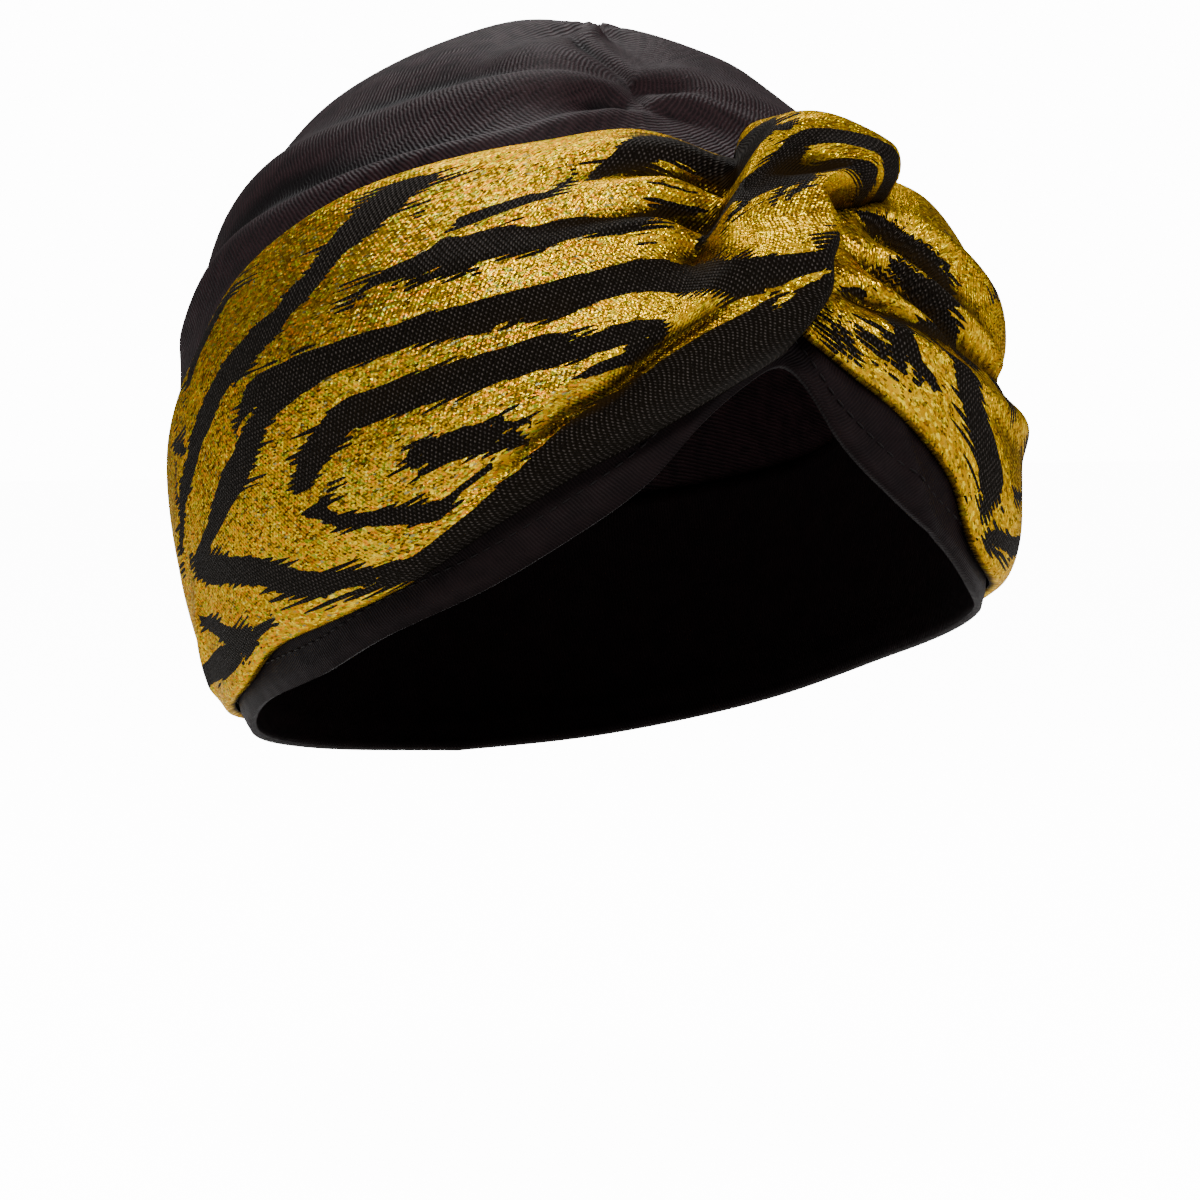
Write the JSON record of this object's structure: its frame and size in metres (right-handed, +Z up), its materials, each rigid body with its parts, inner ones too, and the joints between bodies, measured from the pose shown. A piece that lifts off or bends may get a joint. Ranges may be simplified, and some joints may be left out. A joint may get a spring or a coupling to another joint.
{
  "type": "twist-front turban headband with a closed gathered crown",
  "caption": "Soft full turban headband as worn: gathered jersey crown, inner band and two printed wraps crossing in a twist at the front.",
  "frame": {"origin": "middle of the hollow that a head fills, where the turban is held up as it is worn", "axes": "+Z up, -Y to the front where the wraps cross, +Y to the nape; the gathers and the higher fold of the twist lean as in the picture"},
  "size_m": [0.1844, 0.2111, 0.1708],
  "materials": {
    "ribbed_jersey": "fine ribbed stretch jersey, matt brown-black with a soft sheen",
    "smooth_jersey": "smooth stretch jersey, matt black",
    "foil_print_knit": "black honeycomb knit with a combed ikat stripe print in glittering gold foil"
  },
  "bodies": {
    "root": {"crown": "ribbed_jersey", "lining_band": "smooth_jersey", "band_right": "foil_print_knit", "band_left": "foil_print_knit", "twist": "foil_print_knit"}
  },
  "joints": []
}
